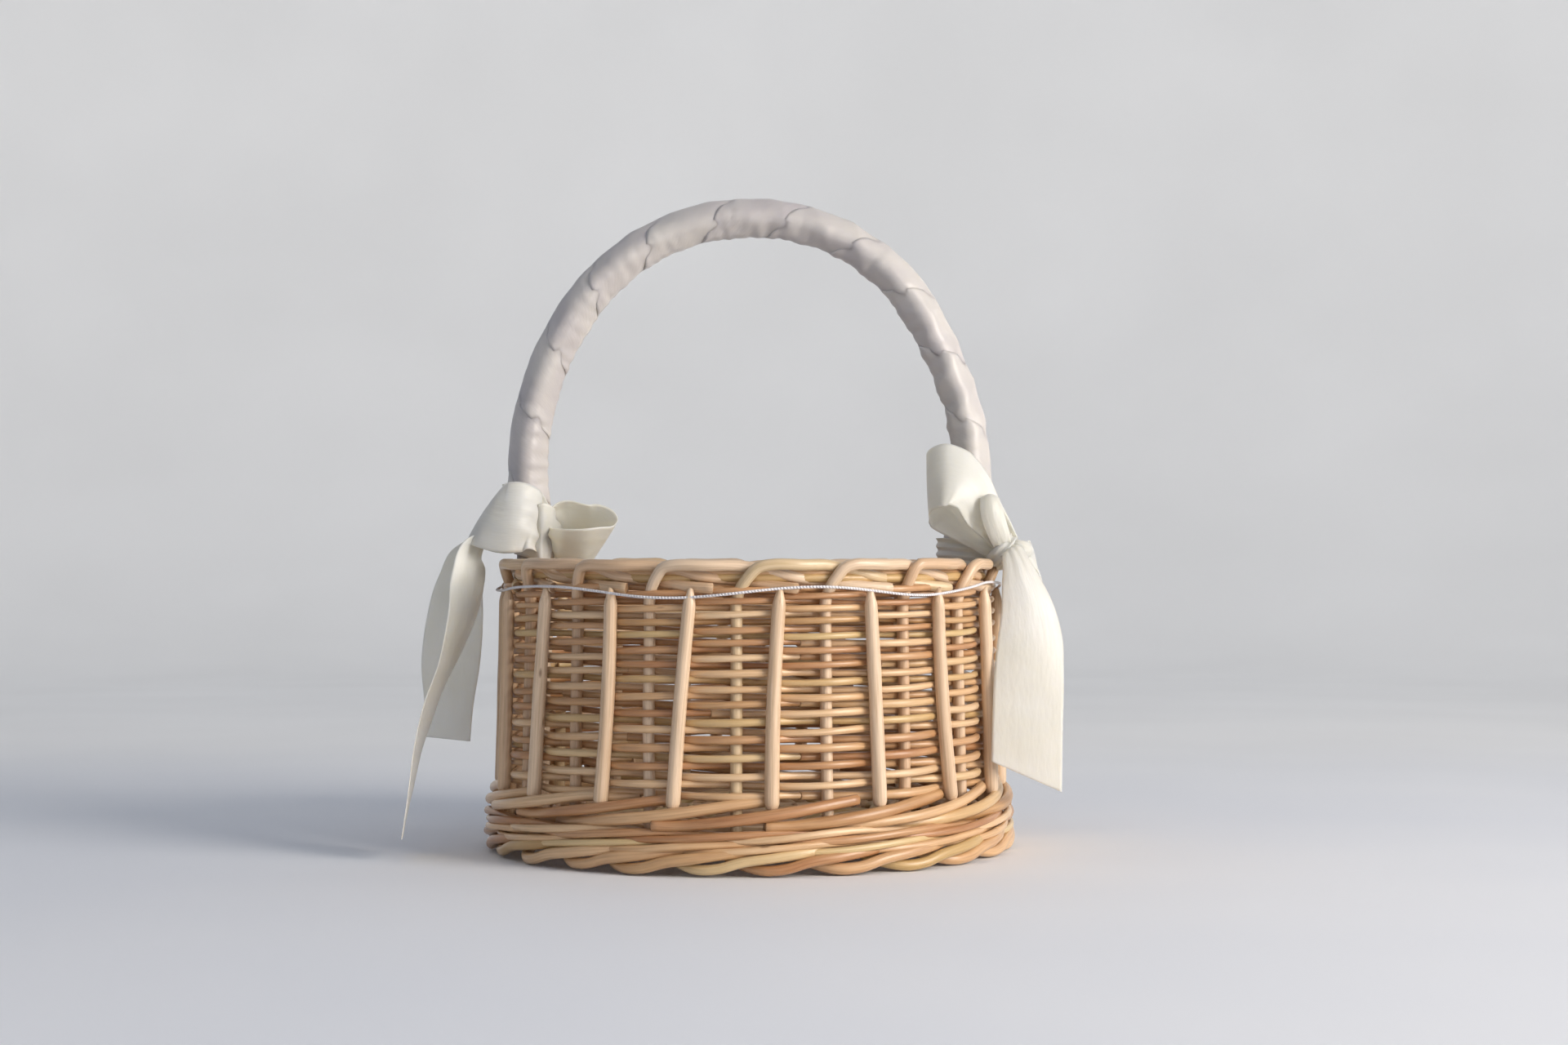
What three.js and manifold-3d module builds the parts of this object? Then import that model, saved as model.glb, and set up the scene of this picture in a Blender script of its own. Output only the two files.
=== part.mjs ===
// A flower girl basket: a round willow basket with a satin-wrapped hoop handle and two ribbon bows.
//
// Frame: millimetres, +Z up, +X to the basket's right, +Y to its back. The origin is on the floor under
// the middle of the basket. Azimuths run round the basket from its front (-Y) towards its right (+X).
//
// How it is built, from the floor up: a foot of three rings of rods, a base woven round a cross of slit
// and threaded sticks, upright stakes that bend over at the top to make the rim border, woven bands
// between the stakes, bare outer stakes in front of the weave, a thread round the rim, and the hoop.
// Ribbon tails hang from the bows and swing on them.

import * as THREE from "three";
import { mergeVertices } from "three/addons/utils/BufferGeometryUtils.js";
import Module from "manifold-3d";

const wasm = await Module();
wasm.setup();

// ---------- driving dimensions ----------

const GAP = 0.3; // between pieces that touch
const STAKES = 18; // upright stakes, and as many outer stakes between them
const FIRST_STAKE = -2.9; // azimuth of the first upright stake, degrees
const SPACING = 360 / STAKES;

const STAKE_RADIUS = 2.3;
const OUTER_STAKE_RADIUS = 3;
const FOOT_RADIUS = 112.8; // outside of the foot
const FOOT_TOP = 29.7; // where the foot ends and the weave begins
const WEAVE_TOP = 107; // where the weave ends and the rim border begins
const WALL_AT_FOOT = 101.3; // radius of the ring of stakes at FOOT_TOP
const WALL_AT_RIM = 99.6; // and at WEAVE_TOP
const BANDS = 3; // bands of weave, one above the other

const HOOP_HALF_WIDTH = 94.7; // the hoop is half an ellipse on two legs
const HOOP_RISE = 103.9;
const HOOP_SPRING = 165; // height at which the half ellipse begins
const LEG_INSET = 88; // distance of each leg from the middle, inside the rim
const CORE_RADIUS = 5;
const WRAP_RADIUS = 8;
const WRAP_END = 122.6; // the wrap stops just above the rim

const RIBBON = 30; // width of the bow ribbon
const RIBBON_THICKNESS = 0.6;
const TAIL_GATHER = 12; // width of a ribbon where it is gathered at a knot

const wallSlope = (WALL_AT_RIM - WALL_AT_FOOT) / (WEAVE_TOP - FOOT_TOP);
const wallRadius = (z) => WALL_AT_FOOT + wallSlope * (z - FOOT_TOP);

// ---------- materials ----------

const matte = (color, roughness) => new THREE.MeshStandardMaterial({ color, roughness, metalness: 0 });
const willowStake = matte(0xd9b88a, 0.55);
const willowWeave = matte(0xc9a06c, 0.6);
const willowBase = matte(0xbd9664, 0.65);
const satinWhite = matte(0xece4df, 0.35);
const satinIvory = matte(0xf3eedb, 0.35);
const cotton = matte(0xe6e3e6, 0.8);

const basket = new THREE.Group();

function add(name, geometry, material) {
  const mesh = new THREE.Mesh(geometry, material);
  mesh.name = name;
  basket.add(mesh);
}

// ---------- geometry helpers ----------

// A point at a radius, an azimuth in degrees and a height.
function around(radius, azimuth, z) {
  const a = THREE.MathUtils.degToRad(azimuth);
  return new THREE.Vector3(radius * Math.sin(a), -radius * Math.cos(a), z);
}

const outwards = (point) => new THREE.Vector3(point.x, point.y, 0).normalize();

// One frame for each point: its across direction leans to the one asked for, and over completes it.
function framesAlong(points, acrossAt, widthAt, depthAt) {
  return points.map((at, i) => {
    const before = points[Math.max(i - 1, 0)];
    const after = points[Math.min(i + 1, points.length - 1)];
    const along = after.clone().sub(before).normalize();
    const across = acrossAt(at, i / (points.length - 1)).clone();
    across.addScaledVector(along, -across.dot(along)).normalize();
    const over = along.clone().cross(across);
    const share = i / (points.length - 1);
    return { at, across, over, width: widthAt(share), depth: depthAt(share) };
  });
}

// Carries a straight geometry, whose length is its z from 0 to 1, onto a row of frames.
function carry(straight, frames) {
  const position = straight.attributes.position;
  for (let i = 0; i < position.count; i += 1) {
    const frame = frames[Math.round(position.getZ(i) * (frames.length - 1))];
    const point = frame.at.clone();
    point.addScaledVector(frame.across, position.getX(i) * frame.width);
    point.addScaledVector(frame.over, position.getY(i) * frame.depth);
    position.setXYZ(i, point.x, point.y, point.z);
  }
  return straight;
}

// A round rod through the points, whose radius is a function of the share of its length.
function rod(points, radiusAt, sides, acrossAt = outwards) {
  const straight = new THREE.CylinderGeometry(1, 1, 1, sides, points.length - 1);
  straight.rotateX(Math.PI / 2).translate(0, 0, 0.5);
  return carry(straight, framesAlong(points, acrossAt, radiusAt, radiusAt));
}

// A flat ribbon through the points.
function ribbon(points, acrossAt, widthAt) {
  const straight = new THREE.BoxGeometry(1, 1, 1, 1, 1, points.length - 1).translate(0, 0, 0.5);
  return carry(straight, framesAlong(points, acrossAt, widthAt, () => RIBBON_THICKNESS));
}

// Evenly spaced points on a smooth curve through the ones given as [x, y, z].
function smooth(corners, steps) {
  const curve = new THREE.CatmullRomCurve3(corners.map((corner) => new THREE.Vector3(...corner)));
  return curve.getSpacedPoints(steps);
}

function solidOf(geometry) {
  const bare = geometry.clone();
  bare.deleteAttribute("normal");
  bare.deleteAttribute("uv");
  const merged = mergeVertices(bare, 1e-4);
  const vertProperties = new Float32Array(merged.attributes.position.array);
  const triVerts = new Uint32Array(merged.index.array);
  return new wasm.Manifold(new wasm.Mesh({ numProp: 3, vertProperties, triVerts }));
}

function geometryOf(solid) {
  const mesh = solid.getMesh();
  const geometry = new THREE.BufferGeometry();
  geometry.setAttribute("position", new THREE.BufferAttribute(mesh.vertProperties, 3));
  geometry.setIndex(new THREE.BufferAttribute(mesh.triVerts, 1));
  geometry.computeVertexNormals();
  return geometry;
}

const cut = (solid, tools) => tools.reduce((left, tool) => left.subtract(tool), solid);
const join = (solids) => solids.reduce((all, solid) => all.add(solid));

// ---------- upright stakes and the rim border that they bend over to make ----------

const STAKE_SIDES = 6;
const STAKE_FOOT = 5;

// How far along the rim (in stake spacings), out from the wall and up each point of a bent stake lies.
// The rod rises over the rim, passes inside the next stake, then down inside the one after it.
const BORDER_ROUTE = [
  [0.01, 1.2, 110.5],
  [0.1, 3.6, 115],
  [0.32, 5.4, 119],
  [0.65, 4.8, 119.4],
  [1, 1.6, 119.5],
  [1.3, -1.2, 117.6],
  [1.6, 0.2, 115],
  [2, -3.3, 113.2],
  [2.35, 0, 111.4],
  [2.7, 3.2, 110.3],
];

// The points of one stake, from its lower end in the foot to its cut end in the border.
function stakePoints(azimuth) {
  const upright = [STAKE_FOOT, FOOT_TOP, WEAVE_TOP].map((z) => around(wallRadius(z), azimuth, z));
  const route = new THREE.CatmullRomCurve3(BORDER_ROUTE.map((point) => new THREE.Vector3(...point)));
  const bent = route.getSpacedPoints(12).map(
    (point) => around(wallRadius(WEAVE_TOP) + point.y, azimuth + point.x * SPACING, point.z),
  );
  return [...upright, ...bent];
}

const azimuths = Array.from({ length: STAKES }, (_, i) => FIRST_STAKE + i * SPACING);
const numbered = (name, i) => `${name}_${String(i + 1).padStart(2, "0")}`;

azimuths.forEach((azimuth, i) => {
  add(numbered("side_stake", i), rod(stakePoints(azimuth), () => STAKE_RADIUS, STAKE_SIDES), willowStake);
});

// The upright part of a stake with room round it, for the holes that it passes through.
function stakeHole(azimuth) {
  const heights = [STAKE_FOOT - GAP, FOOT_TOP, WEAVE_TOP, WEAVE_TOP + 2];
  const points = heights.map((z) => around(wallRadius(z), azimuth, z));
  return solidOf(rod(points, () => STAKE_RADIUS + GAP + 0.1, STAKE_SIDES));
}
const stakeHoles = azimuths.map(stakeHole);

// ---------- bands of weave ----------

const BULGE = 4.6; // half the thickness of the weave at a stake
const WAIST = 1.6; // and halfway between two stakes
const OUTLINE_STEPS = 4 * STAKES;

// The wavy outline of the weave, whose side is +1 on the outside and -1 on the inside.
function weaveOutline(radius, side) {
  return Array.from({ length: OUTLINE_STEPS }, (_, i) => {
    const turn = (i / OUTLINE_STEPS) * 360;
    const wave = Math.cos(THREE.MathUtils.degToRad(STAKES * turn));
    const half = (BULGE + WAIST) / 2 + (wave * (BULGE - WAIST)) / 2;
    const point = around(radius + side * half, FIRST_STAKE + turn, 0);
    return new THREE.Vector2(point.x, point.y);
  });
}

function weaveBand(low, high) {
  const outline = new THREE.Shape(weaveOutline(wallRadius(low), 1));
  outline.holes.push(new THREE.Path(weaveOutline(wallRadius(low), -1)));
  const band = new THREE.ExtrudeGeometry(outline, { depth: high - low, bevelEnabled: false });
  const position = band.attributes.position;
  for (let i = 0; i < position.count; i += 1) {
    const flare = wallRadius(low + position.getZ(i)) / wallRadius(low);
    position.setXYZ(i, position.getX(i) * flare, position.getY(i) * flare, position.getZ(i) + low);
  }
  return geometryOf(cut(solidOf(band), stakeHoles));
}

const bandHeight = (WEAVE_TOP - FOOT_TOP) / BANDS;
for (let i = 0; i < BANDS; i += 1) {
  const low = FOOT_TOP + GAP + i * bandHeight;
  add(`weave_band_${i + 1}`, weaveBand(low, low + bandHeight - GAP), willowWeave);
}

// ---------- outer stakes, whose lower ends stand in the foot ----------

const OUTER_STAKE_FOOT = 22;
const OUTER_STAKE_OFFSET = WAIST + GAP + OUTER_STAKE_RADIUS; // out from the ring of stakes
const SHARPENING = 9; // length of the cut point at the top
const outerAzimuths = azimuths.map((azimuth) => azimuth + SPACING / 2);
const outerStakeAt = (azimuth, z) => around(wallRadius(z) + OUTER_STAKE_OFFSET, azimuth, z);

function outerStake(azimuth, foot, top, radius) {
  const profile = [
    new THREE.Vector2(0, 0),
    new THREE.Vector2(radius, 0),
    new THREE.Vector2(radius, top - foot - SHARPENING),
    new THREE.Vector2(radius * 0.3, top - foot),
    new THREE.Vector2(0, top - foot),
  ];
  const stake = new THREE.LatheGeometry(profile, 8).rotateX(Math.PI / 2);
  const lower = outerStakeAt(azimuth, foot);
  const along = outerStakeAt(azimuth, top).sub(lower).normalize();
  stake.applyQuaternion(new THREE.Quaternion().setFromUnitVectors(new THREE.Vector3(0, 0, 1), along));
  return stake.translate(lower.x, lower.y, lower.z);
}

outerAzimuths.forEach((azimuth, i) => {
  const stake = outerStake(azimuth, OUTER_STAKE_FOOT, WEAVE_TOP, OUTER_STAKE_RADIUS);
  add(numbered("outer_stake", i), stake, willowStake);
});
const outerStakeHoles = outerAzimuths.map((azimuth) =>
  solidOf(outerStake(azimuth, OUTER_STAKE_FOOT - GAP, WEAVE_TOP, OUTER_STAKE_RADIUS + GAP + 0.1)),
);

// ---------- the foot: three rings of rods under the weave ----------

const FOOT_INSIDE = 95.5;
const FOOT_STEPS = 36;
const BASE_STICK_LEVEL = 14;

// A ring from one height to another, with its outer and lower edges eased.
function footRing(low, high, outside) {
  const profile = [
    new THREE.Vector2(FOOT_INSIDE, low),
    new THREE.Vector2(outside - 2, low),
    new THREE.Vector2(outside, (low + high) / 2),
    new THREE.Vector2(outside - 1.5, high),
    new THREE.Vector2(FOOT_INSIDE, high),
    new THREE.Vector2(FOOT_INSIDE, low),
  ];
  return solidOf(new THREE.LatheGeometry(profile, FOOT_STEPS).rotateX(Math.PI / 2));
}

const FOOT_BORDER_TOP = 9;
const LOWER_WALE_TOP = 19;
const footBorder = cut(footRing(0, FOOT_BORDER_TOP, FOOT_RADIUS), stakeHoles);
const lowerWale = footRing(FOOT_BORDER_TOP + GAP, LOWER_WALE_TOP, FOOT_RADIUS);
const upperWale = footRing(LOWER_WALE_TOP + GAP, FOOT_TOP, FOOT_RADIUS - 1);

// ---------- the base: a cross of sticks with the weave round it ----------

const STICK_HALF_LENGTH = 83; // the sticks end short of the handle
const STICK_SIDE = 5.5; // distance of each stick from the middle
const SLIT_STICK = { width: 9, height: 8 };
const THREADED_STICK = { width: 8, height: 3.6 };
const BASE_LOW = 8.6;
const BASE_HIGH = 19.4;
const SLATH_RADIUS = 13; // the weave starts outside the middle of the cross
const BASE_RADIUS = FOOT_INSIDE - GAP;
const SOCKET_RADIUS = 3.8; // for the lower ends of the handle

function stick(size, alongX, side, room) {
  const box = new THREE.BoxGeometry(
    2 * STICK_HALF_LENGTH + 2 * room,
    size.width + 2 * room,
    size.height + 2 * room,
  );
  box.translate(0, side * STICK_SIDE, BASE_STICK_LEVEL);
  return solidOf(alongX ? box : box.rotateZ(Math.PI / 2));
}

const sides = [-1, 1];
const threadedRoom = sides.map((side) => stick(THREADED_STICK, false, side, GAP));
const slitRoom = sides.map((side) => stick(SLIT_STICK, true, side, GAP));
sides.forEach((side, i) => {
  const slit = cut(stick(SLIT_STICK, true, side, 0), threadedRoom);
  add(`base_slit_stick_${i + 1}`, geometryOf(slit), willowBase);
  add(`base_threaded_stick_${i + 1}`, geometryOf(stick(THREADED_STICK, false, side, 0)), willowBase);
});

const baseProfile = [
  new THREE.Vector2(SLATH_RADIUS, BASE_LOW),
  new THREE.Vector2(BASE_RADIUS, BASE_LOW),
  new THREE.Vector2(BASE_RADIUS, BASE_HIGH),
  new THREE.Vector2(SLATH_RADIUS, BASE_HIGH),
  new THREE.Vector2(SLATH_RADIUS, BASE_LOW),
];
const handleSockets = sides.map((side) =>
  solidOf(
    new THREE.CylinderGeometry(SOCKET_RADIUS, SOCKET_RADIUS, BASE_HIGH - BASE_LOW + 2, 8)
      .rotateX(Math.PI / 2)
      .translate(side * LEG_INSET, 0, (BASE_LOW + BASE_HIGH) / 2),
  ),
);
const baseWeave = solidOf(new THREE.LatheGeometry(baseProfile, FOOT_STEPS).rotateX(Math.PI / 2));
const sticksRoom = [...threadedRoom, ...slitRoom];
add("base_weave", geometryOf(cut(baseWeave, [...sticksRoom, ...handleSockets])), willowBase);

add("foot_border", geometryOf(footBorder), willowWeave);
add("lower_wale", geometryOf(cut(lowerWale, [...stakeHoles, ...sticksRoom])), willowWeave);
add("upper_wale", geometryOf(cut(upperWale, [...stakeHoles, ...outerStakeHoles])), willowWeave);

// ---------- the thread round the rim ----------

const THREAD_RADIUS = 0.6;
const threadRing = new THREE.TorusGeometry(wallRadius(WEAVE_TOP) + 7, THREAD_RADIUS, 5, 2 * STAKES);
add("rim_thread", threadRing.translate(0, 0, 111), cotton);

// ---------- the hoop handle and its satin wrap ----------

const ARCH_STEPS = 18;
const LEG_STEPS = 5;
const alongY = () => new THREE.Vector3(0, 1, 0);

// A leg's distance from the middle: it leans in from the half ellipse to pass inside the rim.
function legInset(z) {
  const lean = THREE.MathUtils.smoothstep(z, WRAP_END - 4, HOOP_SPRING);
  return LEG_INSET + (HOOP_HALF_WIDTH - LEG_INSET) * lean;
}

// The middle line of the hoop, from the lower end of its left leg over to that of its right leg.
function hoopPoints(legEnd) {
  const leg = Array.from({ length: LEG_STEPS }, (_, i) => legEnd + ((HOOP_SPRING - legEnd) * i) / LEG_STEPS);
  const left = leg.map((z) => new THREE.Vector3(-legInset(z), 0, z));
  const right = leg.map((z) => new THREE.Vector3(legInset(z), 0, z)).reverse();
  const arch = Array.from({ length: ARCH_STEPS + 1 }, (_, i) => {
    const turn = (Math.PI * i) / ARCH_STEPS;
    const z = HOOP_SPRING + HOOP_RISE * Math.sin(turn);
    return new THREE.Vector3(-HOOP_HALF_WIDTH * Math.cos(turn), 0, z);
  });
  return [...left, ...arch, ...right];
}

const LEG_LOWER_PART = 4; // points at each end where the leg is narrower than the hoop
const HANDLE_FOOT = 10;
const END_RADIUS = 3.2;

function coreRadius(share, steps) {
  const fromEnd = Math.min(share, 1 - share) * steps;
  const grown = THREE.MathUtils.smoothstep(fromEnd, 0, LEG_LOWER_PART);
  return END_RADIUS + (CORE_RADIUS - END_RADIUS) * grown;
}

const corePoints = hoopPoints(HANDLE_FOOT);
const coreSteps = corePoints.length - 1;
add("handle_core", rod(corePoints, (share) => coreRadius(share, coreSteps), 8, alongY), willowStake);

const wrapPoints = hoopPoints(WRAP_END);
const wrapOutside = solidOf(rod(wrapPoints, () => WRAP_RADIUS, 8, alongY));
const wrapInside = solidOf(rod(hoopPoints(WRAP_END - 2), () => CORE_RADIUS + 0.9, 8, alongY));
add("handle_wrap", geometryOf(wrapOutside.subtract(wrapInside)), satinWhite);

// ---------- the bows ----------

const alongX = () => new THREE.Vector3(1, 0, 0);
const gathered = (share) => {
  const full = Math.sin(Math.PI * THREE.MathUtils.clamp(share, 0, 1));
  return TAIL_GATHER + (RIBBON - TAIL_GATHER) * Math.min(1, 1.6 * full);
};
const hanging = (share) => TAIL_GATHER + (RIBBON - TAIL_GATHER) * THREE.MathUtils.smoothstep(share, 0, 0.4);
const direction = (x, y, z) => () => new THREE.Vector3(x, y, z).normalize();

// A ribbon that turns as it hangs: its across direction goes from one to the other.
const turning = (from, to) => (_, share) => from().lerp(to(), THREE.MathUtils.smoothstep(share, 0, 0.5));

// The band that ties a bow to a leg of the handle.
function legBand(side, low, high) {
  const profile = [
    new THREE.Vector2(9.6, low),
    new THREE.Vector2(10.4, low),
    new THREE.Vector2(10.4, high),
    new THREE.Vector2(9.6, high),
    new THREE.Vector2(9.6, low),
  ];
  const ring = new THREE.LatheGeometry(profile, 12).rotateX(Math.PI / 2);
  return solidOf(ring.translate(side * (LEG_INSET + 1.8), 0, 0));
}

const block = (size, at) => solidOf(new THREE.BoxGeometry(...size).translate(...at));
const strap = (corners, across) => solidOf(ribbon(smooth(corners, 4), across, () => TAIL_GATHER));

const leftKnot = join([
  legBand(-1, 126, 140),
  block([9, 10, 18], [-88, -15, 134]),
  strap([[-98.5, 6, 127], [-105, 6, 127.5], [-110.5, 6, 127]], alongY),
  strap([[-91, -17, 126], [-101, -17, 124.4], [-110.5, -17, 125.8]], alongY),
]);
add("left_bow_knot", geometryOf(leftKnot), satinIvory);

const leftLoop = [
  [-95.2, -12.5, 136],
  [-104, -12, 140],
  [-116, -14, 143],
  [-123, -21, 143.5],
  [-118, -29, 143],
  [-106, -29, 140],
  [-95.2, -17.5, 136],
];
add("left_bow_outer_loop", ribbon(smooth(leftLoop, 16), direction(0.1, 0, 1), gathered), satinIvory);

const innerLoop = [
  [-81, -12.5, 135],
  [-74, -11, 138],
  [-64, -13, 139],
  [-59, -20, 139],
  [-63, -28, 138],
  [-73, -28, 137],
  [-81, -17.5, 135],
];
add("left_bow_inner_loop", ribbon(smooth(innerLoop, 16), direction(0, -0.35, 1), gathered), satinIvory);

const leftWideTail = [
  [-112, 6, 126],
  [-116, 6, 118],
  [-121, 5, 104],
  [-126, 3, 80],
  [-128.5, 2, 46],
];
const leftWideAcross = turning(alongY, direction(1, 1, 0));
add("left_wide_tail", ribbon(smooth(leftWideTail, 12), leftWideAcross, hanging), satinIvory);

const leftNarrowTail = [
  [-112.4, -17, 124.6],
  [-116.4, -19, 117],
  [-125, -28, 88],
  [-133, -37, 58],
  [-138.5, -43, 34],
  [-142, -47, 5],
];
add("left_narrow_tail", ribbon(smooth(leftNarrowTail, 14), alongY, hanging), satinIvory);

const rightKnot = join([
  legBand(1, 126, 140),
  block([12, 9, 14], [114, -16, 130]),
  strap([[97, -6, 128], [103, -10, 127], [110, -14, 128]], alongY),
  strap([[114, -13, 128], [114.5, -10, 128.3], [115, -6.5, 128]], alongX),
]);
add("right_bow_knot", geometryOf(rightKnot), satinIvory);

const upperLoop = [
  [105.2, -17, 135],
  [98, -14.5, 145],
  [84, -16, 154],
  [73, -23, 157],
  [76, -32, 156],
  [90, -33, 150],
  [103, -26, 140],
  [105.2, -21.5, 135],
];
add("right_bow_upper_loop", ribbon(smooth(upperLoop, 16), direction(0.1, 0, 1), gathered), satinIvory);

// The second loop hangs down outside the rim, behind the front tail.
const backLoop = [
  [118.5, -15, 121.9],
  [121, -13.5, 116],
  [122, -12.5, 107],
  [118.8, -12.5, 100.5],
  [115, -12.5, 106],
  [114.3, -13.5, 115],
  [114.5, -15, 121.9],
];
const loopWidth = (share) => Math.min(gathered(share), 26);
add("right_bow_back_loop", ribbon(smooth(backLoop, 16), alongY, loopWidth), satinIvory);

const rightFrontTail = [
  [114, -24, 122],
  [115.5, -33, 110],
  [116, -41, 90],
  [115.5, -45, 60],
  [115, -46, 30],
];
const frontTailAcross = direction(1, 0.12, 0);
add("right_front_tail", ribbon(smooth(rightFrontTail, 14), frontTailAcross, hanging), satinIvory);

const rightBackTail = [
  [115, -5.5, 128],
  [117.5, 3, 124],
  [121.5, 17, 112],
  [124.5, 32, 90],
  [126.3, 43, 65],
  [127, 49, 42],
];
add("right_back_tail", ribbon(smooth(rightBackTail, 14), direction(0.9, 0.4, 0), hanging), satinIvory);

export default basket;
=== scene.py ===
"""The looks of a flower girl basket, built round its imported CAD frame.

Lengths here are in millimetres and azimuths in degrees, from the basket's front (-Y) towards its right
(+X). Meshes are scaled to metres as they are made. A place along the wall is often given in spacings,
which count the upright stakes from the first one.
"""
import math

import bpy
import numpy as np
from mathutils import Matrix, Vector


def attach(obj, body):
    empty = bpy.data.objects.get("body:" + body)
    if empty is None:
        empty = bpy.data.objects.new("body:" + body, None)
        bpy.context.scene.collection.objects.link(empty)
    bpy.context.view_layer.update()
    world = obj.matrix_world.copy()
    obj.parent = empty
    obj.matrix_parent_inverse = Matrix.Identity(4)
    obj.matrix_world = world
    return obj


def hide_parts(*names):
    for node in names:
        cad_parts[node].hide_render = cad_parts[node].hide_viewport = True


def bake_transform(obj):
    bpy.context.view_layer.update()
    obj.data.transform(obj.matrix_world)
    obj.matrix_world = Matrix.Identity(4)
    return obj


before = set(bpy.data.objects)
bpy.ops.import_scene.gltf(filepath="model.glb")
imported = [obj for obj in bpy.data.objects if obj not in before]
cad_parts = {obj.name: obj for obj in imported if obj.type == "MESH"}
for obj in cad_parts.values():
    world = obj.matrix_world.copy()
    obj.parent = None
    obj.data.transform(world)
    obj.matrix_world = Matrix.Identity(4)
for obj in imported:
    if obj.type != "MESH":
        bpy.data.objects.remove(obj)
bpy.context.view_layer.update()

# ---------- dimensions that repeat the CAD model's ----------

STAKES = 18
FIRST_STAKE = -2.9
SPACING = 360 / STAKES
FOOT_TOP = 29.7
WEAVE_TOP = 107
WALL_AT_FOOT = 101.3
WALL_AT_RIM = 99.6
BANDS = 3

SEED = 7
MM = 0.001


def wall_radius(z):
    share = (np.asarray(z, float) - FOOT_TOP) / (WEAVE_TOP - FOOT_TOP)
    return WALL_AT_FOOT + (WALL_AT_RIM - WALL_AT_FOOT) * share


# ---------- small tools ----------

def unit(vectors):
    return vectors / np.maximum(np.linalg.norm(vectors, axis=-1, keepdims=True), 1e-9)


def blend_step(low, high, value):
    share = np.clip((np.asarray(value, float) - low) / (high - low), 0, 1)
    return share * share * (3 - 2 * share)


def around(radius, azimuth, z):
    """Points at a radius, an azimuth and a height."""
    turn = np.radians(np.asarray(azimuth, float))
    radius, turn, z = np.broadcast_arrays(radius, turn, z)
    return np.stack([radius * np.sin(turn), -radius * np.cos(turn), z], axis=-1).astype(float)


def on_wall(route):
    """The points of a route whose rows are spacings along the wall, out from it, and height."""
    spacings, out, z = np.asarray(route, float).T
    return around(wall_radius(z) + out, FIRST_STAKE + spacings * SPACING, z)


def smooth_path(corners, step):
    """Evenly spaced rows on a smooth curve through the corners, whose first three columns are a place."""
    corners = np.asarray(corners, float)
    gaps = np.linalg.norm(np.diff(corners[:, :3], axis=0), axis=1)
    knots = np.concatenate([[0], np.cumsum(gaps)])
    slopes = np.gradient(corners, knots, axis=0)
    fine = np.linspace(0, knots[-1], 40 * len(corners))
    i = np.clip(np.searchsorted(knots, fine, side="right") - 1, 0, len(knots) - 2)
    gap = (knots[i + 1] - knots[i])[:, None]
    t = (fine - knots[i])[:, None] / gap
    rows = (
        (2 * t**3 - 3 * t**2 + 1) * corners[i]
        + (t**3 - 2 * t**2 + t) * gap * slopes[i]
        + (3 * t**2 - 2 * t**3) * corners[i + 1]
        + (t**3 - t**2) * gap * slopes[i + 1]
    )
    run = run_of(rows[:, :3])
    at = np.linspace(0, run[-1], max(4, int(run[-1] / step) + 1))
    return np.stack([np.interp(at, run, column) for column in rows.T], axis=1)


def run_of(line):
    """The distance run at each point of a line."""
    return np.concatenate([[0], np.cumsum(np.linalg.norm(np.diff(line, axis=0), axis=1))])


def drift(rng, at, every, size):
    """A smooth random value at each place, which changes every so far."""
    at = np.asarray(at, float)
    knots = rng.normal(0, size, int((at.max() - at.min()) / every) + 4)
    place = (at - at.min()) / every
    i = place.astype(int)
    share = blend_step(0, 1, place - i)
    return knots[i] * (1 - share) + knots[i + 1] * share


# ---------- meshes ----------

class Mesh:
    """Gathers rods and sheets, with what their materials read, into one mesh.

    grain is a place in the rod's or ribbon's own straight frame, tone three random shares of it, and
    cut is 1 where a rod shows its sawn end.
    """

    def __init__(self):
        self.points, self.faces, self.grain, self.tone, self.cut = [], [], [], [], []
        self.count = 0

    def add(self, points, faces, grain, tone, cut=None):
        self.points.append(points)
        self.faces += [tuple(int(v) + self.count for v in face) for face in faces]
        self.grain.append(grain)
        self.tone.append(np.broadcast_to(tone, points.shape))
        self.cut.append(np.zeros(len(points)) if cut is None else cut)
        self.count += len(points)

    def make(self, name, material, body, slot, node):
        data = bpy.data.meshes.new(name)
        data.from_pydata(np.concatenate(self.points) * MM, [], self.faces)
        for key, kind, rows in (
            ("grain", "FLOAT_VECTOR", self.grain),
            ("tone", "FLOAT_VECTOR", self.tone),
            ("cut", "FLOAT", self.cut),
        ):
            layer = data.attributes.new(key, kind, "POINT")
            values = np.concatenate(rows).astype(np.float32).ravel()
            layer.data.foreach_set("vector" if kind == "FLOAT_VECTOR" else "value", values)
        data.polygons.foreach_set("use_smooth", [True] * len(data.polygons))
        data.materials.append(material)
        piece = bpy.data.objects.new(name, data)
        bpy.context.scene.collection.objects.link(piece)
        if body:
            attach(piece, body)
        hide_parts(node)
        return piece


# A rod's bevelled ends: how long they are and their radius at the cut, as shares of the rod's radius.
END_BEVEL = 0.12
END_SHARE = 0.86


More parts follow.
